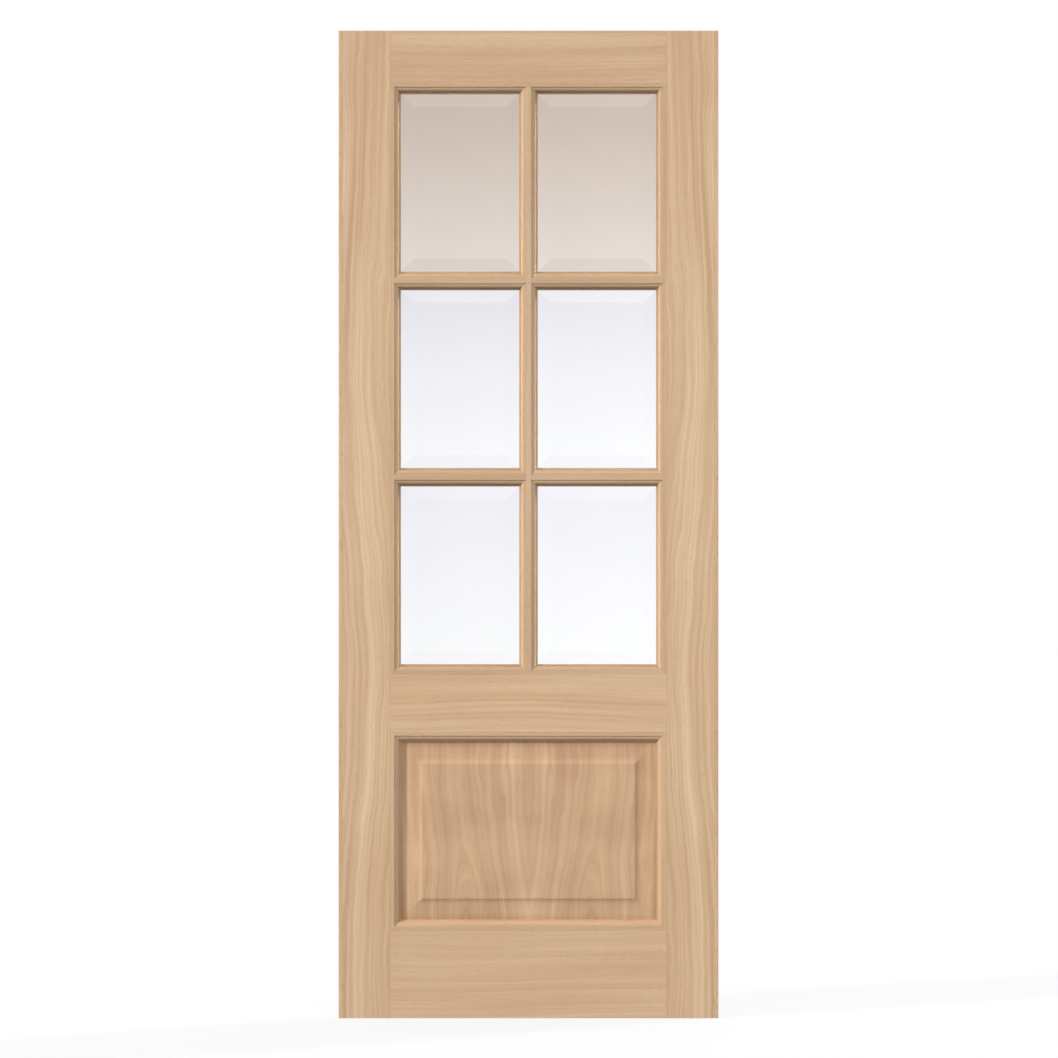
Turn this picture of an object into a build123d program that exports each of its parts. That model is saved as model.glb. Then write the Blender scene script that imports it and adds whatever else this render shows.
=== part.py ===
from build123d import *
import os

# A glazed interior door leaf in oak, in millimetres, standing on Z = 0 with its front facing -Y.
# The origin is the foot of the hinge edge, half way through the thickness, and +X runs across the
# leaf to the lock edge. Left and right are as seen from the front, so the hinges are on the left.
leaf_width = 762
leaf_height = 1981
leaf_thickness = 35

# Visible flat widths of the members, from the leaf's edge to where a moulding starts
stile_width = 112
top_rail_depth = 113
lock_rail_depth = 131
bottom_rail_depth = 184
panel_opening_height = 382

# Solid oak strips: one down each long edge of the leaf, and one along each side of an opening
edge_strip = 8
edge_rounding = 1.5
frame_flat = 8

# The moulding: a square drop, a narrow quirk, a quarter round and a ledge at the sight line
moulding_width = 12.5
quirk_drop = 2
quirk_width = 1.5
ovolo_radius = 8
ovolo_foot = 0.8

# Glazing: two columns and three rows of bevelled panes between slender bars
bar_flat = 12
pane_clearance = 1.5
glass_rim = 3
glass_thickness = 6
bevel_width = 26

# Raised and fielded panel, held by its tongue in grooves
panel_clearance = 1.5
tongue_thickness = 8
margin_width = 31
margin_thickness = 13
cove_width = 10.5
cove_thickness = 19.4
field_thickness = 21

# Places worked out from the sizes above
face = leaf_thickness / 2
opening_width = leaf_width - 2 * stile_width
opening_middle = leaf_width / 2
panel_opening_middle = bottom_rail_depth + panel_opening_height / 2
glazing_foot = bottom_rail_depth + panel_opening_height + lock_rail_depth
glazing_height = leaf_height - top_rail_depth - glazing_foot
glazing_middle = glazing_foot + glazing_height / 2
sides = {"hinge_side": 0, "top": 90, "lock_side": 180, "bottom": 270}
columns = ["left", "right"]
rows = ["top", "middle", "bottom"]
bars = ["upper", "lower"]
rebate_width = (opening_width - (len(columns) - 1) * bar_flat) / len(columns)
rebate_height = (glazing_height - (len(rows) - 1) * bar_flat) / len(rows)


def column_middle(column):
    """X of the middle of a column of panes."""
    return stile_width + rebate_width / 2 + column * (rebate_width + bar_flat)


def row_middle(row):
    """Z of the middle of a row of panes, counted from the top."""
    return glazing_foot + glazing_height - rebate_height / 2 - row * (rebate_height + bar_flat)


def bar_middle(bar):
    """Z of the middle of a horizontal bar, counted from the top."""
    return (row_middle(bar) + row_middle(bar + 1)) / 2


def member(left, right, foot, head):
    """A plain flat member of the full thickness between two heights."""
    solid = Box(right - left, leaf_thickness, head - foot)
    return Pos((left + right) / 2, 0, (foot + head) / 2) * solid


def prism_through(points):
    """The outline given in X and Z, carried right through the leaf from front to back."""
    outline = make_face(Polyline(*points, close=True))
    return extrude(Plane.XZ * outline, leaf_thickness, both=True)


def moulding_section(inner_face):
    """The moulding on the back face: X runs from the flat to the sight line, Y outwards."""
    crest = face - quirk_drop
    foot = crest - ovolo_radius
    ledge = foot - ovolo_foot
    ovolo = CenterArc((quirk_width, foot), ovolo_radius, 0, 90)
    rest = Polyline(
        (quirk_width, crest),
        (0, crest),
        (0, inner_face),
        (moulding_width, inner_face),
        (moulding_width, ledge),
        (quirk_width + ovolo_radius, ledge),
        (quirk_width + ovolo_radius, foot),
    )
    return make_face(ovolo + rest)


def flat_section(width):
    """The flat part of a moulded member, from X = 0 and through the whole thickness."""
    return Pos(width / 2, 0) * Rectangle(width, leaf_thickness)


def glazing_frame_section():
    """A strip round the glass: moulded in front, with the rebate for pane and bead behind."""
    front = mirror(moulding_section(glass_rim / 2), Plane.XZ)
    return flat_section(frame_flat) + Pos(frame_flat, 0) * front


def panel_frame_section():
    """A strip round the panel: moulded on both faces, with the panel's groove between."""
    back = moulding_section(tongue_thickness / 2)
    both = back + mirror(back, Plane.XZ)
    return flat_section(frame_flat) + Pos(frame_flat, 0) * both


def bar_section():
    """A glazing bar: its tongue, with a moulding to each side of it in front."""
    front = mirror(moulding_section(glass_rim / 2), Plane.XZ)
    right = Pos(bar_flat / 2, 0) * front
    return Rectangle(bar_flat, leaf_thickness) + right + mirror(right, Plane.YZ)


def mitred_strip(section, long_side, width):
    """A section carried along Z, both ends mitred, longest at X = 0 and shortest at X = width."""
    half = long_side / 2
    mask = prism_through([(0, -half), (0, half), (width, half - width), (width, width - half)])
    return extrude(section, half, both=True) & mask


def round_an_opening(section, width, wide, high, middle_x, middle_z):
    """Four mitred strips round an opening, with their outer sides on a rectangle, by side name."""
    strips = {}
    for side, turn in sides.items():
        away, long_side = (high, wide) if side in ("top", "bottom") else (wide, high)
        strip = Pos(-away / 2, 0, 0) * mitred_strip(section, long_side, width)
        strips[side] = Pos(middle_x, 0, middle_z) * Rot(0, turn, 0) * strip
    return strips


def bar_outline(length):
    """A bar seen from the front: its flat runs on to the end and its mouldings are mitred there."""
    half, tip = length / 2, bar_flat / 2
    side, shoulder = tip + moulding_width, half - moulding_width
    right = [(tip, half), (side, shoulder), (side, -shoulder), (tip, -half)]
    return prism_through(right + [(-x, z) for x, z in reversed(right)])


def bar(length):
    """A glazing bar along Z with mitred ends, centred on the origin."""
    return extrude(bar_section(), length / 2, both=True) & bar_outline(length)


def plate(section, width, height):
    """A plate whose edge section runs round all four sides and mitres at the corners."""
    across = extrude(section(width / 2), height / 2, both=True)
    upright = extrude(section(height / 2), width / 2, both=True)
    return across & (Rot(0, 90, 0) * upright)


def pane_section(half):
    """Bevelled glass, flat behind: a thin rim in the rebate, then the bevel up to full thickness."""
    rim, front = glass_rim / 2, glass_rim / 2 - glass_thickness
    sight = half - (moulding_width - pane_clearance)
    right = [(half, rim), (half, -rim), (sight, -rim), (sight - bevel_width, front)]
    return make_face(Polyline(*right, *[(-x, y) for x, y in reversed(right)], close=True))


def panel_section(half):
    """Raised and fielded on both faces: tongue, sloping margin, hollow cove, step and flat field."""
    sight = half - (moulding_width - panel_clearance)
    cove_start = sight - margin_width
    cove_end = cove_start - cove_width
    slope = (-margin_width, (margin_thickness - tongue_thickness) / 2)
    outside = Polyline(
        (0, 0),
        (half, 0),
        (half, tongue_thickness / 2),
        (sight, tongue_thickness / 2),
        (cove_start, margin_thickness / 2),
    )
    cove = TangentArc((cove_start, margin_thickness / 2), (cove_end, cove_thickness / 2), tangent=slope)
    field = Polyline(
        (cove_end, cove_thickness / 2),
        (cove_end, field_thickness / 2),
        (0, field_thickness / 2),
        (0, 0),
    )
    quarter = make_face(outside + cove + field)
    back = quarter + mirror(quarter, Plane.YZ)
    return back + mirror(back, Plane.XZ)


def edge_lipping(at_hinges):
    """The solid strip down a long edge of the leaf, with its two outer corners rounded."""
    strip = member(0, edge_strip, 0, leaf_height)
    outer = strip.edges().filter_by(Axis.Z).sort_by(Axis.X)[:2]
    strip = fillet(outer, edge_rounding)
    return strip if at_hinges else Pos(leaf_width, 0, 0) * mirror(strip, Plane.YZ)


def stiles_and_rails():
    """The two full-height stiles, the three rails butted between them and the edge lippings."""
    inner, far = stile_width - frame_flat, leaf_width - stile_width + frame_flat
    panel_head = bottom_rail_depth + panel_opening_height
    return {
        "hinge_edge_lipping": edge_lipping(True),
        "lock_edge_lipping": edge_lipping(False),
        "hinge_stile": member(edge_strip, inner, 0, leaf_height),
        "lock_stile": member(far, leaf_width - edge_strip, 0, leaf_height),
        "top_rail": member(inner, far, leaf_height - top_rail_depth + frame_flat, leaf_height),
        "lock_rail": member(inner, far, panel_head + frame_flat, glazing_foot - frame_flat),
        "bottom_rail": member(inner, far, 0, bottom_rail_depth - frame_flat),
    }


def panel_and_frame():
    """The raised panel in the grooves of its four moulded strips."""
    wide, high = opening_width + 2 * frame_flat, panel_opening_height + 2 * frame_flat
    width = frame_flat + moulding_width
    strips = round_an_opening(
        panel_frame_section(), width, wide, high, opening_middle, panel_opening_middle
    )
    made = {f"panel_frame_{side}": strip for side, strip in strips.items()}
    clear = 2 * panel_clearance
    panel = plate(panel_section, opening_width - clear, panel_opening_height - clear)
    made["raised_panel"] = Pos(opening_middle, 0, panel_opening_middle) * panel
    return made


def glazing_bars_and_frame():
    """The upright bar, the horizontal bars mitred into it, and the moulded strips round them."""
    upright_at = Pos(opening_middle, 0, glazing_middle)
    upright = upright_at * bar(glazing_height)
    outlines = [upright_at * bar_outline(glazing_height)]
    made = {}
    for index, bar_name in enumerate(bars):
        for column, column_name in enumerate(columns):
            at = Pos(column_middle(column), 0, bar_middle(index)) * Rot(0, 90, 0)
            made[f"{bar_name}_glazing_bar_{column_name}"] = at * bar(rebate_width)
            outlines.append(at * bar_outline(rebate_width))
    made["upright_glazing_bar"] = upright - outlines[1:]
    wide, high = opening_width + 2 * frame_flat, glazing_height + 2 * frame_flat
    strips = round_an_opening(
        glazing_frame_section(), frame_flat + moulding_width, wide, high, opening_middle, glazing_middle
    )
    for side, strip in strips.items():
        made[f"glazing_frame_{side}"] = strip - outlines
    return made


def bead_carrier(side, column, row):
    """Which member the bead on this side of a pane is pinned to."""
    if side == "hinge_side" and column == 0 or side == "lock_side" and column == len(columns) - 1:
        return side
    if side in ("hinge_side", "lock_side"):
        return f"upright_bar_{rows[row]}"
    if side == "top" and row == 0 or side == "bottom" and row == len(rows) - 1:
        return side
    return f"{bars[row - 1 if side == 'top' else row]}_bar_{columns[column]}"


def panes_and_beads():
    """Six panes, and behind each four mitred beads, grouped by the member that carries them."""
    panes, groups = {}, {}
    clear = 2 * pane_clearance
    for row, row_name in enumerate(rows):
        for column, column_name in enumerate(columns):
            middle_x, middle_z = column_middle(column), row_middle(row)
            pane = plate(pane_section, rebate_width - clear, rebate_height - clear)
            panes[f"{row_name}_{column_name}_pane"] = Pos(middle_x, 0, middle_z) * pane
            beads = round_an_opening(
                moulding_section(glass_rim / 2),
                moulding_width,
                rebate_width,
                rebate_height,
                middle_x,
                middle_z,
            )
            for side, bead in beads.items():
                groups.setdefault(bead_carrier(side, column, row), []).extend(bead.solids())
    beads = {f"beads_{carrier}": Compound(children=group) for carrier, group in groups.items()}
    return panes | beads


def write_parts():
    """One file for each named sub-part."""
    os.makedirs("parts", exist_ok=True)
    made = stiles_and_rails() | panel_and_frame() | glazing_bars_and_frame() | panes_and_beads()
    for name, shape in made.items():
        export_step(shape, f"parts/{name}.step")


write_parts()
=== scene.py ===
from math import atan2, pi, radians

import bmesh
import bpy
import numpy as np
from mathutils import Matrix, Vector


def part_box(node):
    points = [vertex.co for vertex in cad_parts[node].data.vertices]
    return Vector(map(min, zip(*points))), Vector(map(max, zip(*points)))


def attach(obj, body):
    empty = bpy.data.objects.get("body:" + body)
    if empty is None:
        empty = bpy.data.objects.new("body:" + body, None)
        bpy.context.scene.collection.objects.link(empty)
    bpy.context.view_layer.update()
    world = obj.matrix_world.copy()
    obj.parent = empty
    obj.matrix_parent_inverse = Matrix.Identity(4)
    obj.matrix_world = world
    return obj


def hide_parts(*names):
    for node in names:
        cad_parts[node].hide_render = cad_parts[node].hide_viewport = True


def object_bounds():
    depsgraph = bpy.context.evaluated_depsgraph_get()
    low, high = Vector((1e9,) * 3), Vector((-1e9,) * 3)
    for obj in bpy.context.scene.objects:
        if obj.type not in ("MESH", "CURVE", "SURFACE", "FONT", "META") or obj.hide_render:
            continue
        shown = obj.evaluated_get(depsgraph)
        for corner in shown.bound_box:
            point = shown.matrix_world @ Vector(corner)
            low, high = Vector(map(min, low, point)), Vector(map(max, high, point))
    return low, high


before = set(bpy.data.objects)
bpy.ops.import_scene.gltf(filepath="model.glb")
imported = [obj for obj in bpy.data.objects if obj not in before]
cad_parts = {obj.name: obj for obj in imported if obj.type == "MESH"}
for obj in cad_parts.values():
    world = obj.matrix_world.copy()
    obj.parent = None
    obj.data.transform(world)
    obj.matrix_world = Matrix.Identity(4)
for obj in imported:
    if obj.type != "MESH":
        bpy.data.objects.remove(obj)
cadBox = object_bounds()
print("stage 1: the packed door leaf is in,", len(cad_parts), "nodes")

# The leaf stands on Z = 0 with its front towards -Y. Left and right are as seen from the front.
mm = 0.001
face = cadBox[1].y  # half the leaf's thickness
rows = ["top", "middle", "bottom"]
columns = ["left", "right"]
bars = ["upper", "lower"]
sides = ["hinge_side", "top", "lock_side", "bottom"]

# A noise keeps almost wholly within the wide span, and reading it over the narrow one sharpens it
wideSpan = (0.3, 0.7)
narrowSpan = (0.35, 0.65)

# Camera, lamps and room
picture = {
    "middle": (0.382, 0.9813),  # what stands at its centre, across and up
    "seen": 2.1222,  # how much of the door's front plane each side of the square takes in
    "distance": 8.0,  # from the camera to that plane
    "sensor": 36.0,
    "farthest": 200,  # the camera sees no further
}

lamps = {
    # Where the light comes from, its softness in degrees, and the share of white that it gives a
    # surface facing the front, or for the last one the back
    "raking_key": {"from": (-2.0, -1.0, 0.85), "softness": 4, "share": 0.315},
    "back_key": {"from": (1.7, 1.0, 1.0), "softness": 8, "share": 0.295},
}

room = {
    "ambient": 0.77,  # what every side of the room gives
    "facing": 0.70,  # what is added straight in front and straight behind, falling off to the sides
    "floorSize": 60.0,
    "floorTone": 0.14,  # what the floor sends back onto the door
    "floorSeen": 0.80,  # added where the floor itself is looked at, so that it comes out white
    "mottle": {"perMetre": 1.6, "darkest": 0.97},
    "lampsAt": 6.0,  # where the lamps are drawn, which changes nothing that they light
}

wall = {
    "behind": 2.0,  # distance from the door's middle
    "size": (11.0, 3.4),
    "fadeFrom": 0.6,  # beyond this distance to either side it turns white
    "fadeTo": 1.8,
    "lighterRight": 0.12,  # per metre
    # height on the wall, and its colour there
    "tones": [
        (0.63, (1.000, 1.000, 1.000)),
        (0.85, (0.960, 0.950, 1.000)),
        (1.08, (0.885, 0.875, 0.935)),
        (1.14, (0.990, 0.990, 1.000)),
        (1.36, (0.915, 0.900, 0.955)),
        (1.575, (0.815, 0.790, 0.845)),
        (1.63, (0.795, 0.715, 0.660)),
        (1.96, (0.630, 0.517, 0.448)),
        (2.08, (0.585, 0.467, 0.398)),
    ],
}


class Wiring:
    # Places and links the nodes of one tree. A value is a socket to link from, or a plain setting.
    def __init__(self, tree):
        self.tree = tree

    def plug(self, socket, value):
        if isinstance(value, bpy.types.NodeSocket):
            self.tree.links.new(value, socket)
        elif value is not None:
            socket.default_value = value

    def add(self, kind, values=(), **settings):
        node = self.tree.nodes.new(kind)
        for key, setting in settings.items():
            setattr(node, key, setting)
        for socket, value in dict(values).items():
            self.plug(node.inputs[socket], value)
        return node

    def calc(self, operation, *values, clamp=False):
        node = self.add("ShaderNodeMath", operation=operation, use_clamp=clamp)
        for socket, value in zip(node.inputs, values):
            self.plug(socket, value)
        return node.outputs[0]

    def times(self, first, second):
        return self.calc("MULTIPLY", first, second)

    def split(self, vector):
        return self.add("ShaderNodeSeparateXYZ", {"Vector": vector}).outputs[:3]

    def join(self, x, y, z):
        return self.add("ShaderNodeCombineXYZ", {"X": x, "Y": y, "Z": z}).outputs[0]

    def noise(self, vector, detail=1.0, roughness=0.5, scale=1.0):
        values = {"Vector": vector, "Scale": scale, "Detail": detail, "Roughness": roughness}
        return self.add("ShaderNodeTexNoise", values).outputs[0]

    def between(self, value, low, high, to=(0.0, 1.0), curve="LINEAR"):
        values = {"Value": value, "From Min": low, "From Max": high, "To Min": to[0], "To Max": to[1]}
        return self.add("ShaderNodeMapRange", values, interpolation_type=curve).outputs[0]

    def mix(self, share, first, second, how="MIX"):
        node = self.add("ShaderNodeMix", data_type="RGBA", blend_type=how)
        for socket, value in zip((node.inputs[0], node.inputs[6], node.inputs[7]), (share, first, second)):
            self.plug(socket, value)
        return node.outputs[2]

    def tinted(self, colour, tint, share=1.0):
        return self.mix(share, colour, tint, "MULTIPLY")

    def grey(self, value):
        return self.join(value, value, value)

    def output(self, shader):
        self.add("ShaderNodeOutputMaterial", {"Surface": shader.outputs[0]})


def emptied(block):
    # The wiring of a material or a world whose first nodes are cleared away
    block.use_nodes = True
    block.node_tree.nodes.clear()
    return Wiring(block.node_tree)


def nodeGroup(name, inputs, outputs):
    # A shared group with named sockets. An input is its name, kind and first value.
    tree = bpy.data.node_groups.new(name, "ShaderNodeTree")
    for title, kind, value in inputs:
        socket = tree.interface.new_socket(name=title, in_out="INPUT", socket_type="NodeSocket" + kind)
        if value is not None:
            socket.default_value = value
    for title, kind in outputs:
        tree.interface.new_socket(name=title, in_out="OUTPUT", socket_type="NodeSocket" + kind)
    return tree, Wiring(tree), tree.nodes.new("NodeGroupInput").outputs, tree.nodes.new("NodeGroupOutput")


def setTheRoom():
    scene = bpy.context.scene
    across, up = picture["middle"]
    camera = bpy.data.cameras.new("camera")
    camera.sensor_width = picture["sensor"]
    camera.lens = picture["sensor"] * picture["distance"] / picture["seen"]
    camera.clip_end = picture["farthest"]
    eye = bpy.data.objects.new("camera", camera)
    eye.location = (across, cadBox[0].y - picture["distance"], up)
    eye.rotation_euler = (pi / 2, 0, 0)
    scene.collection.objects.link(eye)
    scene.camera = eye
    scene.view_settings.view_transform = "Standard"

    for name, lamp in lamps.items():
        towards = Vector(lamp["from"]).normalized()
        light = bpy.data.lights.new(name, "SUN")
        light.angle = radians(lamp["softness"])
        light.energy = lamp["share"] * pi / abs(towards.y)
        body = bpy.data.objects.new(name, light)
        body.location = towards * room["lampsAt"]
        body.rotation_euler = towards.to_track_quat("Z", "Y").to_euler()
        scene.collection.objects.link(body)

    # The room's own light is even, and fuller in front and behind. Looked at, or seen in the glass,
    # it is white.
    world = bpy.data.worlds.new("room")
    w = emptied(world)
    ahead = w.split(w.add("ShaderNodeTexCoord").outputs["Generated"])[1]
    fuller = w.calc("MULTIPLY_ADD", w.times(ahead, ahead), room["facing"], room["ambient"])
    even = w.add("ShaderNodeBackground", {"Color": (1, 1, 1, 1), "Strength": fuller})
    shown = w.add("ShaderNodeBackground", {"Color": (1, 1, 1, 1), "Strength": 1.0})
    both = w.add("ShaderNodeMixShader", {0: lookedAt(w), 1: even.outputs[0], 2: shown.outputs[0]})
    w.add("ShaderNodeOutputWorld", {"Surface": both.outputs[0]})
    scene.world = world


def lookedAt(wiring):
    # 1 for a ray that looks: straight from the camera, by a reflection, or through the glass
    path = wiring.add("ShaderNodeLightPath").outputs
    seen = wiring.calc("MAXIMUM", path["Is Camera Ray"], path["Is Glossy Ray"])
    return wiring.calc("MAXIMUM", seen, path["Is Transmission Ray"])


def stageSquare(name, corners, material):
    mesh = bpy.data.meshes.new(name)
    mesh.from_pydata(np.array(corners, float), [], [(0, 1, 2, 3)])
    mesh.materials.append(material)
    square = bpy.data.objects.new(name, mesh)
    bpy.context.scene.collection.objects.link(square)


def layTheFloor():
    # Dull where it lights the door, and white where it is looked at.
    half = room["floorSize"] / 2
    material = bpy.data.materials.new("pale_floor")
    f = emptied(material)
    place = f.add("ShaderNodeTexCoord").outputs["Object"]
    cloud = f.noise(place, 3.0, 0.6, scale=room["mottle"]["perMetre"])
    mottle = f.between(cloud, *wideSpan, (room["mottle"]["darkest"], 1.0))
    tone = f.tinted((room["floorTone"],) * 3 + (1,), f.grey(mottle))
    dull = f.add("ShaderNodeBsdfDiffuse", {"Color": tone})
    lift = f.times(lookedAt(f), room["floorSeen"])
    lit = f.add("ShaderNodeEmission", {"Color": (1, 1, 1, 1), "Strength": lift})
    both = f.add("ShaderNodeAddShader", {0: dull.outputs[0], 1: lit.outputs[0]})
    f.output(both)
    stageSquare("floor", [(-half, -half, 0), (half, -half, 0), (half, half, 0), (-half, half, 0)], material)


def hangTheWall():
    # A pale wall behind the door that is seen only through the panes. It glows instead of being lit, with
    # painted light: white low down, warmer and greyer with height, a little lighter to the right. Every
    # other ray goes through it.
    material = bpy.data.materials.new("pale_wall")
    w = emptied(material)
    x, y, z = w.split(w.add("ShaderNodeTexCoord").outputs["Object"])
    low, high = wall["tones"][0][0], wall["tones"][-1][0]
    ramp = w.add("ShaderNodeValToRGB", {0: w.between(z, low, high)})
    stops = ramp.color_ramp.elements
    for index, (height, colour) in enumerate(wall["tones"]):
        at = (height - low) / (high - low)
        stop = stops[index] if index < 2 else stops.new(at)
        stop.position = at
        stop.color = (*colour, 1)
    beside = w.calc("SUBTRACT", x, picture["middle"][0])
    lighter = w.calc("MULTIPLY_ADD", beside, wall["lighterRight"], 1.0)
    tone = w.tinted(ramp.outputs[0], w.grey(lighter))
    away = w.between(w.calc("ABSOLUTE", beside), wall["fadeFrom"], wall["fadeTo"])
    lit = w.add("ShaderNodeEmission", {"Color": w.mix(away, tone, (1, 1, 1, 1)), "Strength": 1.0})
    clear = w.add("ShaderNodeBsdfTransparent")
    seen = w.add("ShaderNodeLightPath").outputs["Is Transmission Ray"]
    both = w.add("ShaderNodeMixShader", {0: seen, 1: clear.outputs[0], 2: lit.outputs[0]})
    w.output(both)
    left, right = (picture["middle"][0] + sign * wall["size"][0] / 2 for sign in (-1, 1))
    depth, head = wall["behind"], wall["size"][1]
    corners = [(left, depth, 0), (right, depth, 0), (right, depth, head), (left, depth, head)]
    stageSquare("wall", corners, material)


setTheRoom()
layTheFloor()
hangTheWall()
print("stage 2: camera, lamps, room and floor are set")

figure = {
    # places in the noise for each step of seed, for the other face of a veneer, and for each metre
    # down into solid wood
    "seedStep": 1.73,
    "otherFace": 4.37,
    "perDepth": 2.0,
    # waves: how many to a metre across and along, and their detail
    "slowWaves": (3.2, 1.5, 1.0),
    "quickWaves": (17.0, 6.5, 2.0),
    # bands: how many to a metre of ring number and along, their place, detail and roughness
    "zones": (16, 0.9, 0.3, 1.0, 0.5),
    "streaks": (95, 1.1, 2.1, 2.0, 0.6),
    "rings": (330, 2.4, 5.7, 2.0, 0.55),
    "fibres": (1500, 9.0, 8.2, 1.0, 0.5),
    "fibreShare": 0.5,  # of the strength of the rings
    # dashes: how many to a metre across and along, their place, and the noise where one starts
    # and where it is full
    "pores": (2300, 55, 11.0, 0.60, 0.72),
    "flecks": (900, 85, 17.0, 0.68, 0.78),
    "fleckShare": 0.6,
    # pores crowd where a ring is below the first value and thin out to a share above the second
    "crowded": (-0.10, 0.12, (1.0, 0.15)),
    # the slow mottle: how many clouds to a metre across and along, their place and detail
    "mottle": (9.0, 2.6, 23.0, 2.0),
    "mottleTones": (0.955, 1.045),
    "mottleWarmth": (1.012, 0.988),  # its darker side is redder
    "roughness": 0.58,
    "markRoughness": 0.16,
    "ringRoughness": -0.12,
    "fibreRelief": 0.35,  # of a pore's depth
}


def grainFlowGroup():
    # How the rings run in a board whose grain lies along local Z. Across the board a place is first
    # pushed sideways by slow waves and by two smooth bends, and its ring is then its distance from
    # the heart: the square root of (across - pith) squared plus (depth + rise * step(along)) squared,
    # where the smooth step goes from 0 to 1 and the rise closes the rings to flames.
    # A veneer shows another sheet on its back, and solid wood takes its own depth into account.
    tree, g, given, out = nodeGroup(
        "grain_flow",
        [
            ("Vector", "Vector", None), ("Seed", "Float", 0.0), ("Solid", "Float", 0.0),
            ("Pith", "Float", 0.0), ("Depth", "Float", 0.0),
            ("Rise", "Float", 0.0), ("Rise from", "Float", 0.0), ("Rise to", "Float", 0.1),
            ("Bend", "Float", 0.0), ("Bend from", "Float", 0.1), ("Bend to", "Float", 0.0),
            ("Return", "Float", 0.0), ("Return from", "Float", 0.1), ("Return to", "Float", 0.0),
            ("Wander", "Float", 0.03), ("Ripple", "Float", 0.16),
        ],
        [("Ring", "Float"), ("Fibre", "Vector"), ("Seed", "Float")],
    )
    across, through, along = g.split(given["Vector"])
    inside = g.times(through, given["Solid"])
    sheet = g.times(g.calc("SIGN", through), g.calc("SUBTRACT", 1.0, given["Solid"]))
    start = g.times(given["Seed"], figure["seedStep"])
    seed = g.calc("MULTIPLY_ADD", sheet, figure["otherFace"], start)
    level = g.calc("MULTIPLY_ADD", inside, figure["perDepth"], seed)

    def waves(title):
        perMetre, alongScale, detail = figure[title]
        place = g.join(g.times(across, perMetre), level, g.times(along, alongScale))
        return g.calc("SUBTRACT", g.noise(place, detail), 0.5)

    def step(title):
        share = g.between(along, given[title + " from"], given[title + " to"], curve="SMOOTHSTEP")
        return g.times(given[title], share)

    push = g.calc("MULTIPLY_ADD", waves("quickWaves"), given["Ripple"], waves("slowWaves"))
    moved = g.calc("MULTIPLY_ADD", push, given["Wander"], across)
    moved = g.calc("SUBTRACT", moved, g.calc("ADD", step("Bend"), step("Return")))
    depth = g.calc("ADD", g.calc("ADD", step("Rise"), given["Depth"]), inside)
    offset = g.calc("SUBTRACT", moved, given["Pith"])
    squares = g.calc("ADD", g.times(offset, offset), g.times(depth, depth))
    g.plug(out.inputs["Ring"], g.calc("SQRT", squares))
    g.plug(out.inputs["Fibre"], g.join(moved, inside, along))
    g.plug(out.inputs["Seed"], seed)
    return tree


def oakBandsGroup():
    # The colour of oak: soft zones, streaks, growth rings and fibres are noise drawn along the ring
    # number and stretched far along the grain. Pores are short dark dashes crowded in some rings,
    # ray flecks are fewer and wider apart, and a slow mottle runs over the whole sheet.
    tree, g, given, out = nodeGroup(
        "oak_bands",
        [
            ("Ring", "Float", 0.0), ("Fibre", "Vector", None), ("Seed", "Float", 0.0),
            ("Zones", "Float", 0.6), ("Streaks", "Float", 1.0), ("Rings", "Float", 0.7),
            ("Pores", "Float", 0.5), ("Lift", "Float", 1.0),
            ("Dark", "Color", (0.5, 0.3, 0.2, 1)), ("Body", "Color", (0.6, 0.4, 0.3, 1)),
            ("Pale", "Color", (0.8, 0.5, 0.4, 1)), ("Mark", "Color", (0.66, 0.55, 0.46, 1)),
        ],
        [("Color", "Color"), ("Roughness", "Float"), ("Height", "Float")],
    )
    across, inside, along = g.split(given["Fibre"])
    ring, seed = given["Ring"], given["Seed"]

    def drawn(title):
        perMetre, alongScale, shift, detail, roughness = figure[title]
        level = g.calc("ADD", seed, shift)
        place = g.join(g.times(ring, perMetre), level, g.times(along, alongScale))
        return g.calc("SUBTRACT", g.noise(place, detail, roughness), 0.5)

    zones, streaks, rings, fibres = (drawn(title) for title in ("zones", "streaks", "rings", "fibres"))
    value = g.calc("MULTIPLY_ADD", zones, given["Zones"], 0.5)
    value = g.calc("MULTIPLY_ADD", streaks, given["Streaks"], value)
    value = g.calc("MULTIPLY_ADD", rings, given["Rings"], value)
    finest = g.times(given["Rings"], figure["fibreShare"])
    value = g.calc("MULTIPLY_ADD", fibres, finest, value)
    lower = g.mix(g.calc("MULTIPLY", value, 2.0, clamp=True), given["Dark"], given["Body"])
    upper = g.mix(g.calc("MULTIPLY_ADD", value, 2.0, -1.0, clamp=True), lower, given["Pale"])

    def dashes(title):
        perMetre, alongScale, shift, low, high = figure[title]
        level = g.calc("MULTIPLY_ADD", inside, perMetre, g.calc("ADD", seed, shift))
        place = g.join(g.times(across, perMetre), level, g.times(along, alongScale))
        return g.between(g.noise(place, 0.0), low, high)

    crowded = g.between(rings, *figure["crowded"])
    pores = g.times(g.times(dashes("pores"), crowded), given["Pores"])
    flecks = g.times(dashes("flecks"), given["Pores"])
    marks = g.calc("MAXIMUM", pores, g.times(flecks, figure["fleckShare"]))
    perMetre, alongScale, shift, detail = figure["mottle"]
    level = g.calc("ADD", seed, shift)
    place = g.join(g.times(across, perMetre), level, g.times(along, alongScale))
    slow = g.noise(place, detail)
    mottle = g.times(g.between(slow, *wideSpan, figure["mottleTones"]), given["Lift"])
    warm = g.times(mottle, g.between(slow, *narrowSpan, figure["mottleWarmth"]))
    clean = g.tinted(upper, g.join(warm, mottle, mottle))
    g.plug(out.inputs["Color"], g.tinted(clean, given["Mark"], marks))
    rough = g.calc("MULTIPLY_ADD", marks, figure["markRoughness"], figure["roughness"])
    g.plug(out.inputs["Roughness"], g.calc("MULTIPLY_ADD", rings, figure["ringRoughness"], rough))
    raised = g.times(fibres, figure["fibreRelief"])
    g.plug(out.inputs["Height"], g.calc("MULTIPLY_ADD", marks, -1.0, raised))
    return tree


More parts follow.
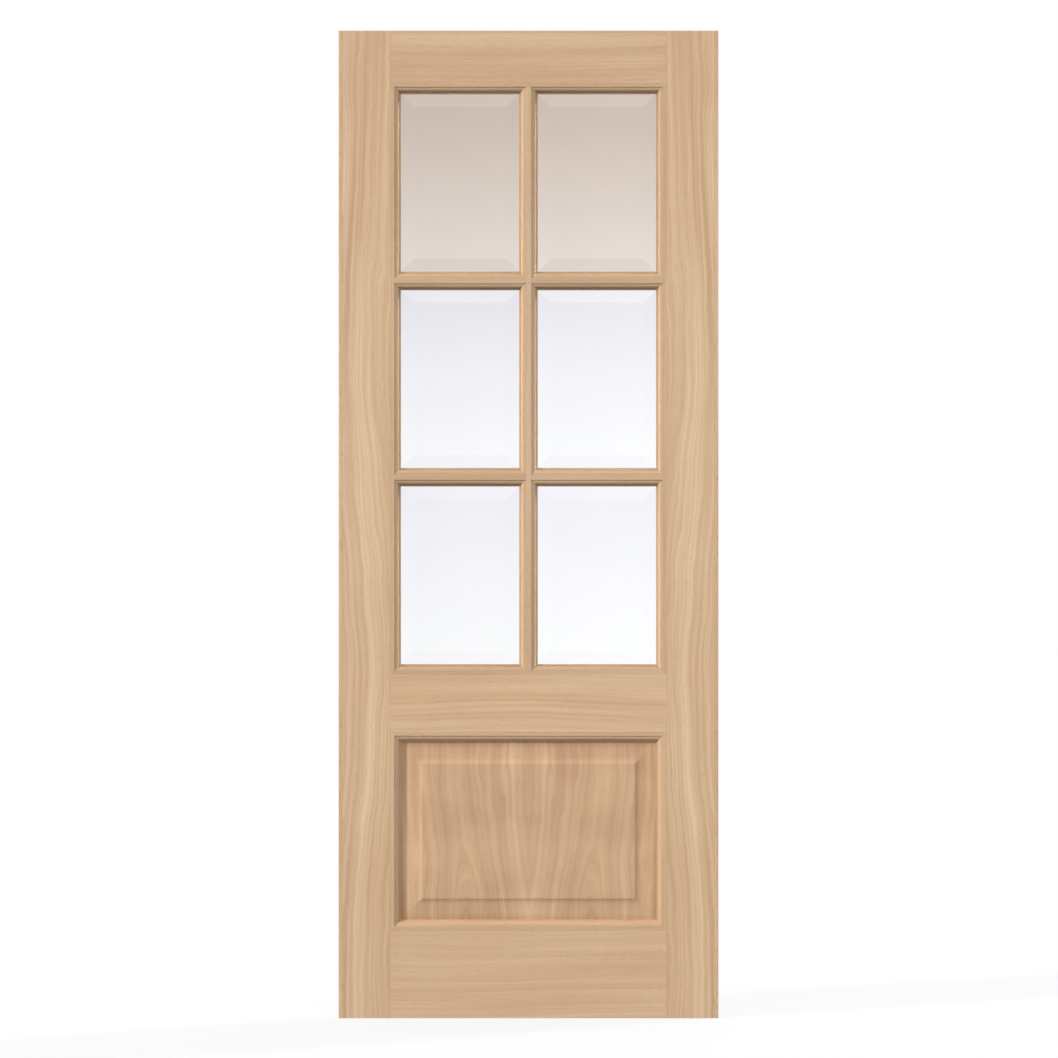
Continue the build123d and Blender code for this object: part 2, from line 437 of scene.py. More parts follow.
core = {
    "stave": 0.03,  # width of one
    "sheet": 0.0009,  # thickness of the oak on each face
    "sheetEdge": 0.0001,  # over which oak turns to pine
    "facing": (0.8, 0.9),  # how squarely up or down a face must look to show it
    "lean": 0.09,  # how widely the hearts of the staves are scattered to the side
    "heart": (0.022, 0.03),  # the least that a heart lies outside the leaf, and what is added to it
    "rings": 2300.0,  # radians of ring pattern to a metre
    "wobble": (60.0, 7.0),  # waves to a metre, and how many radians they shift the rings
    "lines": (3.0, 420.0),  # long grain: how many to a metre along and through
    "cells": 2600.0,  # to a metre
    "cellTones": (0.86, 1.06),
    "staveTones": (0.88, 1.08),
    "early": (0.62, 0.42, 0.235, 1),
    "late": (0.36, 0.20, 0.095, 1),
    "lateFrom": 0.2,  # where in a ring, from -1 to 1, its late wood starts
    "lateShare": 0.65,
    "seam": (0.00012, 0.0004),  # half a glue line, and where it has faded
    "glue": (0.17, 0.095, 0.05, 1),
    "glueShare": 0.6,
    "relief": -0.4,  # of a pore's depth
}


def coreGroup():
    # The head and foot show what a veneered member is made of: a thin oak sheet on each face and a
    # softwood core glued up from staves. Mask is 1 where that core shows. Seams are its glue lines.
    tree, g, given, out = nodeGroup(
        "stave_core",
        [
            ("Vector", "Vector", None), ("Normal", "Vector", None), ("End grain", "Float", 1.0),
            ("Stave", "Float", core["stave"]), ("Sheet", "Float", core["sheet"]), ("Face", "Float", face),
        ],
        [("Color", "Color"), ("Mask", "Float"), ("Height", "Float")],
    )
    x, y, z = g.split(given["Vector"])
    facing = g.calc("ABSOLUTE", g.split(given["Normal"])[2])
    fromFace = g.calc("SUBTRACT", given["Face"], g.calc("ABSOLUTE", y))
    within = g.between(fromFace, given["Sheet"], g.calc("ADD", given["Sheet"], core["sheetEdge"]))
    g.plug(out.inputs["Mask"], g.times(g.between(facing, *core["facing"]), within))
    number = g.calc("DIVIDE", x, given["Stave"])
    stave = g.calc("FLOOR", number)
    inStave = g.calc("SUBTRACT", g.calc("FRACT", number), 0.5)
    tint = g.add("ShaderNodeTexWhiteNoise", {"W": stave}, noise_dimensions="1D").outputs["Value"]
    lean = g.times(g.calc("SUBTRACT", tint, 0.5), core["lean"])
    sideways = g.calc("SUBTRACT", g.times(inStave, given["Stave"]), lean)
    least, added = core["heart"]
    down = g.calc("ADD", y, g.calc("MULTIPLY_ADD", tint, added, least))
    squares = g.calc("ADD", g.times(sideways, sideways), g.times(down, down))
    wavesPerMetre, shift = core["wobble"]
    wobble = g.times(g.noise(given["Vector"], 2.0, scale=wavesPerMetre), shift)
    turn = g.calc("ADD", g.times(g.calc("SQRT", squares), core["rings"]), wobble)
    alongScale, throughScale = core["lines"]
    place = g.join(g.times(x, alongScale), g.times(y, throughScale), z)
    lines = g.between(g.noise(place, 2.0), *narrowSpan, (-1.0, 1.0))
    share = given["End grain"]
    longShare = g.times(lines, g.calc("SUBTRACT", 1.0, share))
    rings = g.calc("ADD", g.times(g.calc("SINE", turn), share), longShare)
    late = g.between(rings, core["lateFrom"], 1.0, curve="SMOOTHSTEP")
    pine = g.mix(g.times(late, core["lateShare"]), core["early"], core["late"])
    grit = g.noise(given["Vector"], 1.0, scale=core["cells"])
    staves = g.between(tint, 0.0, 1.0, core["staveTones"])
    cells = g.times(g.between(grit, *narrowSpan, core["cellTones"]), staves)
    pine = g.tinted(pine, g.grey(cells))
    nearEdge = g.times(g.calc("SUBTRACT", 0.5, g.calc("ABSOLUTE", inStave)), given["Stave"])
    seam = g.times(g.between(nearEdge, *core["seam"], (1.0, 0.0)), share)
    g.plug(out.inputs["Color"], g.mix(g.times(seam, core["glueShare"]), pine, core["glue"]))
    g.plug(out.inputs["Height"], g.times(g.calc("ADD", late, seam), core["relief"]))
    return tree


def paintedShadeGroup():
    # Painted shade: a colour darkens to the tint given for recesses as its place sinks below the leaf's
    # faces, and to the tint given for slopes as its surface turns away from front and back.
    tree, g, given, out = nodeGroup(
        "painted_recess_shade",
        [
            ("Vector", "Vector", None), ("Color", "Color", (1, 1, 1, 1)), ("Tint", "Color", (1, 1, 1, 1)),
            ("Face", "Float", face), ("From", "Float", 0.0), ("To", "Float", 0.01),
            ("Normal", "Vector", None), ("Painted slope shade", "Color", (1, 1, 1, 1)),
        ],
        [("Color", "Color")],
    )
    below = g.calc("SUBTRACT", given["Face"], g.calc("ABSOLUTE", g.split(given["Vector"])[1]))
    sunk = g.between(below, given["From"], given["To"])
    deep = g.tinted(given["Color"], given["Tint"], sunk)
    starts, full = 0.97, 0.60  # how squarely a slope faces the front or back
    sloping = g.between(g.calc("ABSOLUTE", g.split(given["Normal"])[1]), starts, full)
    g.plug(out.inputs["Color"], g.tinted(deep, given["Painted slope shade"], sloping))
    return tree


flowTree = grainFlowGroup()
bandsTree = oakBandsGroup()
coreTree = coreGroup()
paintedShadeTree = paintedShadeGroup()

oakTones = {
    "dark": (0.550, 0.350, 0.203, 1),
    "body": (0.650, 0.440, 0.268, 1),
    "pale": (0.775, 0.558, 0.372, 1),
    "specular": 0.3,
    "relief": 0.00012,  # how deep a pore is
    "reliefShare": 0.8,
    "sawnRoughness": 0.18,  # added on the core at head and foot
}

upright, level = (0, 0, 0), (0, pi / 2, 0)  # how far wood is turned whose grain starts out upright


def oak(
    name, seed, solid=0.0, turn=upright, centre=(0, 0, 0), flip=1, flow=(), bands=(), endGrain=None,
    paintedShade=None, patches=None, folded=False,
):
    # Oak with its grain along the turned Z axis, from a centre on the piece. Flip -1 mirrors the
    # figure across the grain, as when the next sheet of veneer is opened like a book. Folded oak has
    # such a seam at its centre: both halves read the figure at their distance from it.
    material = bpy.data.materials.new(name)
    m = emptied(material)
    read = m.add("ShaderNodeTexCoord").outputs
    values = {"Vector": read["Object"], "Location": centre, "Rotation": turn, "Scale": (flip, 1, 1)}
    place = m.add("ShaderNodeMapping", values, vector_type="TEXTURE").outputs[0]
    if folded:
        across, through, along = m.split(place)
        place = m.join(m.calc("ABSOLUTE", across), through, along)

    def group(tree, values):
        node = m.add("ShaderNodeGroup", node_tree=tree)
        for socket, value in values.items():
            m.plug(node.inputs[socket], value)
        return node.outputs

    flowing = group(flowTree, {"Vector": place, "Seed": seed, "Solid": solid, **dict(flow)})
    tones = {"Dark": oakTones["dark"], "Body": oakTones["body"], "Pale": oakTones["pale"]}
    linked = {title: flowing[title] for title in ("Ring", "Fibre", "Seed")}
    banded = group(bandsTree, {**linked, **tones, **dict(bands)})
    colour, roughness, height = banded["Color"], banded["Roughness"], banded["Height"]
    if patches is not None:
        cloud = m.between(m.noise(read["Object"], 2.0, scale=patches["perMetre"]), *narrowSpan)
        colour = m.tinted(colour, m.mix(cloud, patches["dark"], patches["pale"]))
    onPiece = {"Vector": read["Object"], "Normal": read["Normal"]}
    if endGrain is not None:  # 1 where the core is cut across its grain, 0 where it runs lengthwise
        blocks = group(coreTree, {**onPiece, "End grain": endGrain})
        mask = blocks["Mask"]
        colour = m.mix(mask, colour, blocks["Color"])
        roughness = m.calc("MULTIPLY_ADD", mask, oakTones["sawnRoughness"], roughness)
        height = m.calc("MULTIPLY_ADD", mask, m.calc("SUBTRACT", blocks["Height"], height), height)
    # painted shade: darker in recesses and on slopes, as the piece gives it
    if paintedShade is not None:
        colour = group(paintedShadeTree, {**onPiece, "Color": colour, **paintedShade})["Color"]
    values = {"Strength": oakTones["reliefShare"], "Distance": oakTones["relief"], "Height": height}
    relief = m.add("ShaderNodeBump", values)
    values = {
        "Base Color": colour, "Roughness": roughness, "Normal": relief.outputs[0],
        "Specular IOR Level": oakTones["specular"],
    }
    surface = m.add("ShaderNodeBsdfPrincipled", values)
    m.output(surface)
    return material


# What every shape shares
shaping = {
    "arris": 0.35 * mm,  # how far a machined edge is eased
    "arrisSteps": 3,
    "mostOfFlat": 0.3,  # the share of a flat that easing may take at each end
    "hold": 1.5,  # reaches from a corner to the point that holds the flat beside it
    "embed": 0.4 * mm,  # how far a moulding runs into the flat that carries it
    "smoothUnder": radians(28),
}


def easedOutline(corners, reach):
    # A closed outline with its corners eased. Each corner C becomes the curve
    # (1 - t)^2 A + 2 t (1 - t) C + t^2 B between the points A and B at its reach before and after it,
    # held by one more point on each flat. A corner with no reach stays a single point.
    corners = np.asarray(corners, float)
    reach = np.broadcast_to(np.asarray(reach, float), len(corners))[:, None]
    before, after = np.roll(corners, 1, 0) - corners, np.roll(corners, -1, 0) - corners
    longBefore, longAfter = (np.linalg.norm(v, axis=1, keepdims=True) for v in (before, after))
    before, after = before / longBefore, after / longAfter
    near = np.minimum(reach, shaping["mostOfFlat"] * np.minimum(longBefore, longAfter))
    t = np.linspace(0, 1, shaping["arrisSteps"] + 1)[None, :, None]
    start, end = (corners + before * near)[:, None], (corners + after * near)[:, None]
    curve = (1 - t) ** 2 * start + 2 * t * (1 - t) * corners[:, None] + t**2 * end
    hold = near * shaping["hold"]
    first, last = (corners + before * hold)[:, None], (corners + after * hold)[:, None]
    held = np.concatenate([first, curve, last], axis=1)
    keep = np.ones(held.shape[:2], bool)
    keep[reach[:, 0] == 0, 1:] = False
    return held[keep]


def closedShells(name, shells, mitred=False, smooth=True):
    # Rings of points, one array of (rings, points, 3) for each shell. Neighbouring rings are joined
    # by four-sided faces, and the first and last are each closed by one face.
    vertices, faces, start = [], [], 0
    for shell in shells:
        rings, points = shell.shape[:2]
        index = start + np.arange(rings * points).reshape(rings, points)
        beside = np.roll(index, -1, axis=1)
        quads = np.stack([index[:-1], beside[:-1], beside[1:], index[1:]], axis=-1).reshape(-1, 4)
        faces += quads.tolist() + [index[0, ::-1].tolist(), index[-1].tolist()]
        vertices.append(shell.reshape(-1, 3))
        start += rings * points
    mesh = bpy.data.meshes.new(name)
    mesh.from_pydata(np.concatenate(vertices), [], faces)
    form = bmesh.new()
    form.from_mesh(mesh)
    bmesh.ops.recalc_face_normals(form, faces=form.faces)
    form.to_mesh(mesh)
    form.free()
    if smooth:
        mesh.shade_smooth()
        mesh.set_sharp_from_angle(angle=shaping["smoothUnder"])
    if mitred:  # the lines from a ring's corner to the next ring's are the mitres
        count = len(mesh.edges)
        ends, sharp = np.empty(count * 2, np.int32), np.empty(count, bool)
        mesh.edges.foreach_get("vertices", ends)
        mesh.edges.foreach_get("use_edge_sharp", sharp)
        ends = ends.reshape(-1, 2)
        sharp |= np.abs(ends[:, 0] - ends[:, 1]) == shells[0].shape[1]
        mesh.edges.foreach_set("use_edge_sharp", sharp)
    mesh.update()
    piece = bpy.data.objects.new(name, mesh)
    bpy.context.scene.collection.objects.link(piece)
    return piece


def easedMember(low, high, lengthwise, reach=shaping["arris"]):
    # A square-edged member with eased edges: its section is carried lengthwise, and within the
    # reach of each end it draws in by reach * (1 - sine) while the end rounds by reach * (1 - cosine).
    low, high = np.asarray(low, float), np.asarray(high, float)
    others = [axis for axis in (0, 1, 2) if axis != lengthwise]
    middle, half = (low + high)[others] / 2, (high - low)[others] / 2
    reach = np.asarray(reach, float)
    section = easedOutline(half * np.array([(-1, -1), (1, -1), (1, 1), (-1, 1)]), reach)
    endReach = float(reach.min())
    angle = np.linspace(0, pi / 2, shaping["arrisSteps"] + 1)
    inset = np.append(endReach * (1 - np.sin(angle)), 0)
    offset = np.append(endReach * (1 - np.cos(angle)), endReach * shaping["hold"])
    stations = np.concatenate([low[lengthwise] + offset, (high[lengthwise] - offset)[::-1]])
    inset = np.concatenate([inset, inset[::-1]])
    scale = 1 - inset[:, None, None] / half
    rings = np.empty((len(stations), len(section), 3))
    rings[:, :, others] = middle + section * scale
    rings[:, :, lengthwise] = stations[:, None]
    return rings


def stands(side):
    # Whether a side of an opening runs up and down
    return side in ("hinge_side", "lock_side")


def mitredStrip(section, opening, side):
    # A section (distance into the opening, depth) carried along one side of it. The point at distance
    # w runs from w past the side's start to w before its end, so both ends are cut at 45 degrees.
    x0, z0, x1, z1 = opening
    w, depth = section.T
    low, high = (z0, z1) if stands(side) else (x0, x1)
    inward = {"hinge_side": x0 + w, "lock_side": x1 - w, "bottom": z0 + w, "top": z1 - w}[side]
    along = np.stack([low + w, high - w])
    inward, depth = np.broadcast_to(inward, along.shape), np.broadcast_to(depth, along.shape)
    return np.stack((inward, depth, along) if stands(side) else (along, depth, inward), axis=-1)


def plateRings(section, box):
    # A section (distance in from the edge, depth) carried round a rectangle, mitred at its corners.
    (x0, _, z0), (x1, _, z1) = box
    inset, depth = section[:, 0], section[:, 1]
    left, right, foot, head = x0 + inset, x1 - inset, z0 + inset, z1 - inset
    corners = [(left, foot), (right, foot), (right, head), (left, head)]
    return np.stack([np.stack([x, depth, z], axis=-1) for x, z in corners], axis=1)


def nodeBox(*names):
    boxes = np.array([[tuple(corner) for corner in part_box(name)] for name in names])
    return boxes[:, 0].min(axis=0), boxes[:, 1].max(axis=0)


def finish(piece, slot, material, *replaced):
    # Every piece rides on the leaf's one body and stands for the nodes named last.
    piece.data.materials.append(material)
    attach(piece, "root")
    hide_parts(*replaced)


stiles = {
    "seed": 3.0,
    "figureAt": 0.99,  # height of the point that the bends below are measured from
    "flow": {
        "Pith": -0.62, "Bend": 0.022, "Bend from": 0.42, "Bend to": -0.22,
        "Return": -0.012, "Return from": -0.25, "Return to": -1.0, "Wander": 0.062, "Ripple": 0.34,
    },
    "bands": {"Zones": 1.2, "Streaks": 1.5, "Rings": 0.75, "Pores": 0.4, "Lift": 0.98},
}


def makeStiles():
    # The lock stile shows the hinge stile's sheet of veneer opened like a book.
    for name, flip in (("hinge_stile", 1), ("lock_stile", -1)):
        low, high = nodeBox(name)
        piece = closedShells(name + "_veneered", [easedMember(low, high, 2)])
        outer = low[0] if flip == 1 else high[0]
        material = oak(
            name + "_veneer", stiles["seed"], centre=(outer, 0, stiles["figureAt"]), flip=flip,
            flow=stiles["flow"], bands=stiles["bands"], endGrain=1.0,
        )
        finish(piece, "oak_veneer", material, name)


rails = {
    "top_rail": {
        "seed": 12.0,
        "flow": {"Pith": -0.30, "Wander": 0.035},
        "bands": {"Zones": 0.9, "Streaks": 0.9, "Rings": 0.45, "Pores": 0.4, "Lift": 0.955},
    },
    "lock_rail": {
        "seed": 7.0,
        "flow": {"Pith": -0.35, "Wander": 0.055},
        "bands": {"Zones": 0.8, "Streaks": 1.25, "Rings": 0.45, "Pores": 0.4, "Lift": 1.02},
    },
    "bottom_rail": {
        "seed": 21.0,
        "flow": {"Pith": -0.42, "Wander": 0.03},
        "bands": {"Zones": 0.5, "Streaks": 0.8, "Rings": 0.45, "Pores": 0.4, "Lift": 0.985},
    },
}


def makeRails():
    for name, rail in rails.items():
        low, high = nodeBox(name)
        piece = closedShells(name + "_veneered", [easedMember(low, high, 0)])
        material = oak(
            name + "_veneer", rail["seed"], turn=level, centre=tuple((low + high) / 2),
            flow=rail["flow"], bands=rail["bands"], endGrain=0.0,
        )
        finish(piece, "oak_veneer", material, name)


lippings = {
    "rounding": 1.5 * mm,  # of the two outer edges
    "seeds": {"hinge_edge_lipping": 31.0, "lock_edge_lipping": 34.0},
    "flow": {"Pith": -0.09, "Depth": 0.12, "Wander": 0.02},
    "bands": {"Zones": 0.6, "Streaks": 0.8, "Rings": 0.5, "Pores": 0.8, "Lift": 1.0},
}


def makeLippings():
    small, large = shaping["arris"], lippings["rounding"]
    for name, seed in lippings["seeds"].items():
        low, high = nodeBox(name)
        outerLeft = name.startswith("hinge")
        reach = (large, small, small, large) if outerLeft else (small, large, large, small)
        piece = closedShells(name + "_strip", [easedMember(low, high, 2, reach)])
        material = oak(
            name + "_oak", seed, solid=1.0, centre=tuple((low + high) / 2),
            flow=lippings["flow"], bands=lippings["bands"],
        )
        finish(piece, "solid_oak", material, name)


makeStiles()
makeRails()
makeLippings()
print("stage 3: stiles, rails and edge lippings are made")

moulding = {
    "flat": 8 * mm,  # plain part of a strip, level with the leaf's faces
    "width": 12.5 * mm,
    "clearance": 1.5 * mm,
    "rebate": 1.5 * mm,  # depth of the inner face in front of a pane
    "groove": 4 * mm,  # and in front of the panel's tongue
    "drop": 2 * mm,  # from the flat down to the crest
    "quirk": 1.5 * mm,  # width of the level crest
    "radius": 8 * mm,  # of the quarter round
    "foot": 0.8 * mm,  # from the quarter round down to the ledge
    "arcSteps": 12,
    # shares of an arris at a bead's outer edges, the ledge, the sight edge and the inner face
    "eases": (0.6, 0.6, 1.0, 0.5),
    "firstSeed": 43.0,
    "seedStep": 3.0,
    "flow": {"Pith": 0.07, "Depth": 0.16, "Wander": 0.02},
    "bands": {"Zones": 0.7, "Streaks": 0.9, "Rings": 0.4, "Pores": 0.5, "Lift": 0.91},
    # painted shade, darker and warmer as a moulding sinks below the faces
    "paintedShade": {"From": 2.5 * mm, "To": 11 * mm, "Tint": (0.91, 0.88, 0.84, 1)},
    "panelPaintedShade": (1.0, 0.94, 0.89, 1),  # the same painted shade round the panel, warmer there
    # painted shade: the slopes of strips that lie are darker round the glass, standing ones a little
    "paintedSlopeShades": {"lying": (0.73, 0.72, 0.745, 1), "standing": (0.97, 0.96, 0.95, 1)},
}


def mouldingSection(inner, start, facing):
    # From the start of its crest: a level quirk, a quarter round and a ledge, then the sight face down
    # to the inner face. Facing -1 is the leaf's front and 1 its back.
    crest = face - moulding["drop"]
    centre = (moulding["quirk"], crest - moulding["radius"])
    angle = np.linspace(pi / 2, 0, moulding["arcSteps"] + 1)
    arc = centre + moulding["radius"] * np.stack([np.cos(angle), np.sin(angle)], axis=-1)
    ledge, sight = centre[1] - moulding["foot"], moulding["width"]
    outer, rest = [(start, inner), (start, crest)], [(arc[-1, 0], ledge), (sight, ledge), (sight, inner)]
    corners = np.concatenate([outer, arc, rest])
    eases = shaping["arris"] * np.array(moulding["eases"])
    outerEase = 0 if start < 0 else eases[0]  # none where it is sunk into the flat
    reach = np.concatenate([[outerEase, outerEase], np.zeros(len(arc)), eases[1:]])
    return easedOutline(corners, reach) * (1, facing)


def flatSection(width):
    corners = [(0, -face), (width, -face), (width, face), (0, face)]
    return easedOutline(corners, shaping["arris"])


def openingRound(name):
    # The opening that a pane or the panel stands in with its clearance: left, foot, right and head.
    low, high = nodeBox(name)
    clear = moulding["clearance"]
    return low[0] - clear, low[2] - clear, high[0] + clear, high[2] + clear


openings = {(row, column): openingRound(f"{row}_{column}_pane") for row in rows for column in columns}
panelOpening = openingRound("raised_panel")


def solidOakFor(name, lying, seed):
    low, high = nodeBox(name)
    # painted shade for a moulding: in its hollows, and on its slopes unless it is round the panel
    paintedShade = dict(moulding["paintedShade"])
    if name.startswith("panel"):
        paintedShade["Tint"] = moulding["panelPaintedShade"]
    else:
        paintedShade["Painted slope shade"] = moulding["paintedSlopeShades"]["lying" if lying else "standing"]
    return oak(
        name + "_oak", seed, solid=1.0, turn=level if lying else upright, centre=tuple((low + high) / 2),
        flow=moulding["flow"], bands=moulding["bands"], paintedShade=paintedShade,
    )


def carrier(side, row, column):
    # The member that carries this side of a pane's opening.
    edges = {"hinge_side": column == columns[0], "lock_side": column == columns[-1]}
    edges |= {"top": row == rows[0], "bottom": row == rows[-1]}
    if edges[side]:
        return "glazing_frame_" + side
    if stands(side):
        return "upright_glazing_bar"
    bar = bars[rows.index(row) - (side == "top")]
    return f"{bar}_glazing_bar_{column}"


def beadCarrier(side, row, column):
    name = carrier(side, row, column)
    if name == "upright_glazing_bar":
        return f"beads_upright_bar_{row}"
    return "beads_" + name.replace("glazing_frame_", "").replace("glazing_bar", "bar")


def makeMouldings():
    flat, embed = moulding["flat"], shaping["embed"]
    shells = {}
    for kind in ("glazing_frame_", "panel_frame_"):
        low, high = nodeBox(kind + "hinge_side", kind + "lock_side")
        around = low[0], low[2], high[0], high[2]
        for side in sides:
            shells[kind + side] = [mitredStrip(flatSection(flat), around, side)]
    for side in sides:
        for facing in (-1, 1):
            section = mouldingSection(moulding["groove"], -embed, facing)
            shells["panel_frame_" + side].append(mitredStrip(section, panelOpening, side))
    first, last = openings[rows[-1], columns[0]], openings[rows[0], columns[-1]]
    middle = easedMember((first[2], -face, first[1]), (last[0], face, last[3]), 2)
    shells["upright_glazing_bar"] = [middle]
    for bar, above, below in zip(bars, rows, rows[1:]):
        for column in columns:
            left, _, right, foot = openings[below, column]
            head = openings[above, column][1]
            middle = easedMember((left, -face, foot), (right, face, head), 0)
            shells[f"{bar}_glazing_bar_{column}"] = [middle]
    front = mouldingSection(moulding["rebate"], -embed, -1)
    bead = mouldingSection(moulding["rebate"], 0.0, 1)
    beads = {}
    for (row, column), opening in openings.items():
        for side in sides:
            shells[carrier(side, row, column)].append(mitredStrip(front, opening, side))
            beads.setdefault(beadCarrier(side, row, column), []).append(mitredStrip(bead, opening, side))
    for index, (name, parts) in enumerate({**shells, **beads}.items()):
        low, high = nodeBox(name)
        piece = closedShells(name.replace("glazing", "glass") + "_moulded", parts)
        lying = high[0] - low[0] > high[2] - low[2]
        material = solidOakFor(name, lying, moulding["firstSeed"] + moulding["seedStep"] * index)
        finish(piece, "solid_oak", material, name)


makeMouldings()

beadPins = {
    "radius": 0.85 * mm,
    "sunk": 0.3 * mm,  # how far a filled hole's plug reaches into the bead
    "proud": 0.06 * mm,
    "points": 12,
    "domeAt": (0, 25, 50, 75),  # where its rings stand, in degrees up the dome
    "fromEnd": 42 * mm,
    "standing": 3,  # pins in an upright bead
    "lying": 2,
    "filler": (0.53, 0.335, 0.19, 1),
    "grit": 3500.0,  # grains to a metre
    "gritTones": (0.85, 1.12),
    "gritRoughness": (0.72, 0.86),
    "gritRelief": 0.05 * mm,
    "reliefShare": 0.6,
}


def makeBeadPins():
    # The beads are pinned through the middle of their quarter round, and the holes are filled. Each
    # plug is a low dome: rings of radius r cos(a) stand at a height proud * sin(a) on a short barrel,
    # turned so that its axis leaves the quarter round at 45 degrees.
    half = 0.5**0.5
    inset = moulding["quirk"] + moulding["radius"] * half
    depth = face - moulding["drop"] - moulding["radius"] * (1 - half)
    rise = np.radians(beadPins["domeAt"])
    radius = beadPins["radius"] * np.concatenate([[1], np.cos(rise)])[:, None, None]
    height = np.concatenate([[-beadPins["sunk"]], beadPins["proud"] * np.sin(rise)])[:, None, None]
    angle = np.linspace(0, 2 * pi, beadPins["points"], endpoint=False)[None, :, None]
    shells = []
    for x0, z0, x1, z1 in openings.values():
        for side in sides:
            standing = stands(side)
            inward = {"hinge_side": (1, 0), "lock_side": (-1, 0), "bottom": (0, 1), "top": (0, -1)}[side]
            normal = np.array([inward[0], 1, inward[1]]) * half
            along = np.array([0.0, 0, 1] if standing else [1.0, 0, 0])
            around = np.cross(normal, along)
            low, high = (z0, z1) if standing else (x0, x1)
            count = beadPins["standing" if standing else "lying"]
            for place in np.linspace(low + beadPins["fromEnd"], high - beadPins["fromEnd"], count):
                start = {"hinge_side": x0, "lock_side": x1, "bottom": z0, "top": z1}[side]
                across = start + inset * (inward[0] + inward[1])
                centre = np.array([across, depth, place] if standing else [place, depth, across])
                ring = np.cos(angle) * along + np.sin(angle) * around
                shells.append(centre + ring * radius + normal * height)
    piece = closedShells("bead_pins_filled", shells)
    finish(piece, "solid_oak", woodFiller())


def woodFiller():
    # Filler the colour of a darker oak, with a fine grit.
    material = bpy.data.materials.new("wood_filler")
    m = emptied(material)
    place = m.add("ShaderNodeTexCoord").outputs["Object"]
    grit = m.noise(place, 3.0, 0.6, scale=beadPins["grit"])
    colour = m.tinted(beadPins["filler"], m.grey(m.between(grit, *wideSpan, beadPins["gritTones"])))
    roughness = m.between(grit, *wideSpan, beadPins["gritRoughness"])
    values = {"Strength": beadPins["reliefShare"], "Distance": beadPins["gritRelief"], "Height": grit}
    relief = m.add("ShaderNodeBump", values)
    values = {"Base Color": colour, "Roughness": roughness, "Normal": relief.outputs[0]}
    surface = m.add("ShaderNodeBsdfPrincipled", values)
    m.output(surface)
    return material


makeBeadPins()
print("stage 4: moulded strips, glazing bars, beads and their pins are made")

panel = {
    "tongue": 4 * mm,  # this and the other depths are measured from the panel's middle
    "sight": 11 * mm,  # from its edge to the mouldings' sight line
    "margin": 31 * mm,  # width, and its depth where the cove starts
    "marginTo": 6.5 * mm,
    "cove": 10.5 * mm,  # width, and its depth where the sanded edge starts
    "coveTo": 9.7 * mm,
    "field": 10.5 * mm,
    "coveSteps": 16,
    "rounding": 3.06 * mm,  # how far the field's edge is sanded over
    "roundingSteps": 8,
    "band": 20 * mm,  # of the field, before one face closes its middle
    "seed": 5.0,
    "flow": {
        "Pith": 0.118, "Depth": 0.007, "Rise": 0.026, "Rise from": -0.21, "Rise to": -0.03,
        "Bend": 0.024, "Bend from": -0.20, "Bend to": 0.12, "Wander": 0.080, "Ripple": 0.50,
    },
    "bands": {
        "Zones": 1.1, "Streaks": 1.35, "Rings": 0.5, "Pores": 0.35, "Lift": 0.95,
        "Dark": (0.520, 0.315, 0.180, 1), "Body": (0.640, 0.415, 0.250, 1),
        "Pale": (0.745, 0.505, 0.318, 1),
    },
    # painted shadow on the outer part of the margin, where the mouldings' shadow falls
    "paintedShade": {"From": 12.3 * mm, "To": 13.5 * mm, "Tint": (0.86, 0.81, 0.75, 1)},
    "patches": {"perMetre": 8.0, "dark": (0.90, 0.87, 0.845, 1), "pale": (1.03, 1.03, 1.03, 1)},
}


def coveCurve(start, end, along, steps):
    # The circle that leaves the start in the given direction and passes through the end.
    start, end, along = (np.asarray(v, float) for v in (start, end, along))
    along = along / np.linalg.norm(along)
    side = np.array([-along[1], along[0]])
    chord = end - start
    radius = chord @ chord / (2 * chord @ side)
    centre = start + side * radius
    turn = 2 * atan2(chord @ side, chord @ along) * np.linspace(0, 1, steps + 1)[:, None]
    return centre + radius * (np.sin(turn) * along - np.cos(turn) * side)


def makePanel():
    ease = shaping["arris"]
    start = (panel["sight"] + panel["margin"], panel["marginTo"])
    end = (start[0] + panel["cove"], panel["coveTo"])
    cove = coveCurve(start, end, (panel["margin"], panel["marginTo"] - panel["tongue"]), panel["coveSteps"])
    deep = end[0] + panel["band"]
    field, tongue = panel["field"], panel["tongue"]
    # The sanded edge carries on from the cove and ends level with the field.
    meets = (end[0] + panel["rounding"], field)
    sanded = coveCurve(end, meets, cove[-1] - cove[-2], panel["roundingSteps"])
    curves = np.concatenate([cove, sanded[1:]])[::-1]
    half = np.concatenate([[(deep, field)], curves, [(panel["sight"], tongue), (0, tongue)]])
    reach = np.append(np.zeros(len(half) - 1), ease)
    corners = np.concatenate([half, half[::-1] * (1, -1)])
    section = easedOutline(corners, np.concatenate([reach, reach[::-1]]))
    low, high = nodeBox("raised_panel")
    rings = plateRings(section, (low, high))
    piece = closedShells("raised_and_fielded_panel", [rings], mitred=True)
    material = oak(
        "panel_crown_veneer", panel["seed"], centre=tuple((low + high) / 2), folded=True,
        flow=panel["flow"], bands=panel["bands"], paintedShade=panel["paintedShade"], patches=panel["patches"],
    )
    finish(piece, "panel_veneer", material, "raised_panel")


makePanel()
print("stage 5: the raised panel is made")

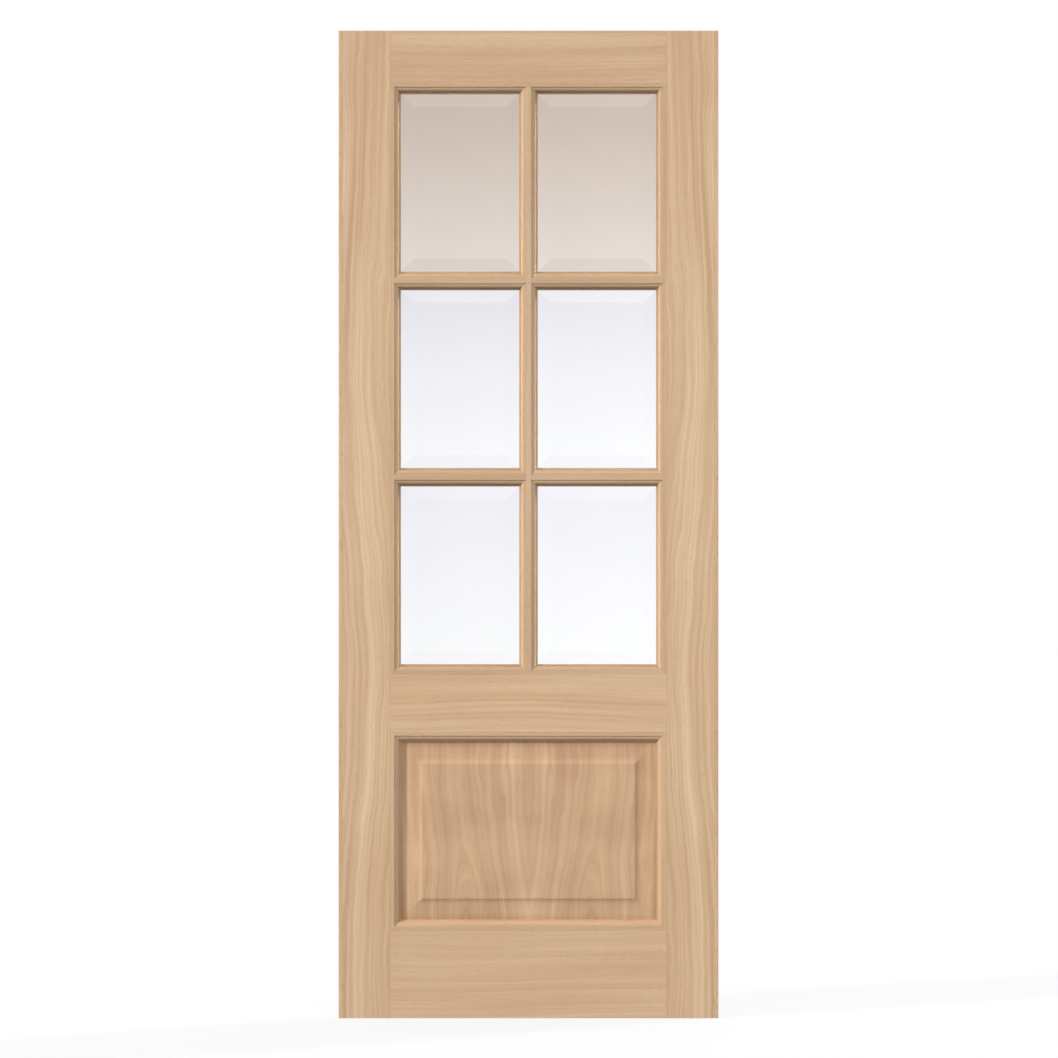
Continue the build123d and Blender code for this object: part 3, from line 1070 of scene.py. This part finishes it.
pane = {
    "rim": 1.5 * mm,  # half the thickness of its outer edge
    "thickness": 6 * mm,
    "sight": 11 * mm,  # from its edge to the mouldings' sight line, where the bevel starts
    "bevel": 26 * mm,
    "seam": 0.3 * mm,  # how far its sharp outer edges are ground off
    "film": 5.0,  # clouds to a metre
    "tints": ((0.955, 0.975, 0.965, 1), (0.985, 0.992, 0.990, 1)),
    "smeared": (0.35, 0.75, (0.0, 0.025)),  # where the film starts and is full, and its roughness
    "ior": 1.5,
    "lampTint": (0.93, 0.95, 0.94, 1),
}


def bevelledGlass():
    # Clear float glass with the faintest film of handling: only its roughness and tint wander. The
    # lamps' light goes straight through it, a little tinted, so that a pane casts hardly any shadow.
    material = bpy.data.materials.new("bevelled_glass")
    m = emptied(material)
    film = m.noise(m.add("ShaderNodeTexCoord").outputs["Object"], 4.0, 0.62, scale=pane["film"])
    values = {
        "Base Color": m.mix(m.between(film, *wideSpan), *pane["tints"]),
        "Roughness": m.between(film, *pane["smeared"]),
        "IOR": pane["ior"], "Metallic": 0.0, "Transmission Weight": 1.0,
    }
    glass = m.add("ShaderNodeBsdfPrincipled", values)
    clear = m.add("ShaderNodeBsdfTransparent", {"Color": pane["lampTint"]})
    forLamps = m.add("ShaderNodeLightPath").outputs["Is Shadow Ray"]
    both = m.add("ShaderNodeMixShader", {0: forLamps, 1: glass.outputs[0], 2: clear.outputs[0]})
    m.output(both)
    return material


def makePanes():
    # The section starts on the flat back, rounds the ground edge and climbs the bevel to the front.
    rim, seam = pane["rim"], pane["seam"]
    front = rim - pane["thickness"]
    edge = [(seam, rim), (0, rim - seam), (0, seam - rim), (seam, -rim)]
    section = np.array(edge + [(pane["sight"], -rim), (pane["sight"] + pane["bevel"], front)])
    glass = bevelledGlass()
    for row in rows:
        for column in columns:
            name = f"{row}_{column}_pane"
            piece = closedShells(name + "_bevelled", [plateRings(section, nodeBox(name))], smooth=False)
            finish(piece, "clear_glass", glass, name)


makePanes()
print("stage 6: the bevelled panes are made")
